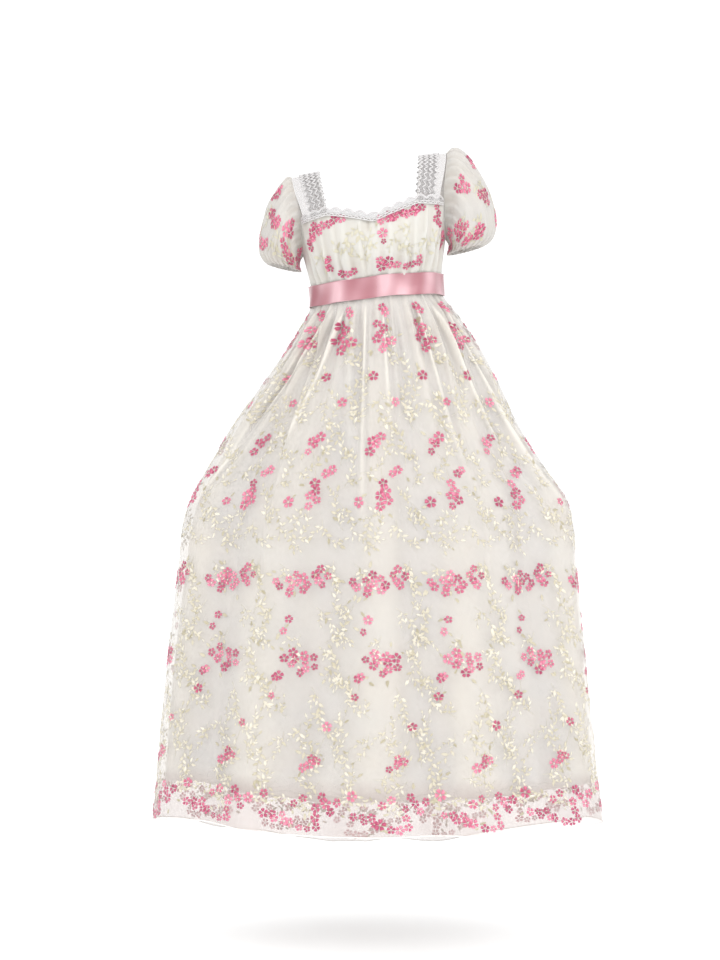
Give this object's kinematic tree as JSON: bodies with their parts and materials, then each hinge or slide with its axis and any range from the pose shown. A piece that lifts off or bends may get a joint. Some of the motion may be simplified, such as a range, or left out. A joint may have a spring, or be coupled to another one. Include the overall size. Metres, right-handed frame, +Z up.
{
  "type": "regency gown",
  "caption": "High-waisted floral gown with short puffed sleeves, sheer net yokes, lace neck edging and a satin belt, its full skirt drawn out at both sides.",
  "frame": {"origin": "midway between the two shoulder tops of the gown, where its wearer holds it up", "axes": "+Z up from hem to shoulders, the front of the gown faces -Y, +X towards the side whose shoulder is higher"},
  "size_m": [0.8743, 0.4732, 1.3905],
  "materials": {
    "floral": "sheer cloth embroidered with pink blossoms and pale gold leaves",
    "ivory": "smooth plain lining",
    "net": "fine sheer net",
    "lace": "white corded lace",
    "satin": "pink satin ribbon"
  },
  "bodies": {
    "root": {"bodice_front": "floral", "bodice_back_left": "floral", "bodice_back_right": "floral", "skirt_front": "floral", "skirt_back": "floral", "lining_front": "ivory", "lining_back": "ivory", "belt": "satin", "sleeve_left": "floral", "sleeve_right": "floral", "yoke_left": "net", "yoke_right": "net", "strap_lace_left": "lace", "strap_lace_right": "lace", "neck_lace": "lace"}
  },
  "joints": []
}
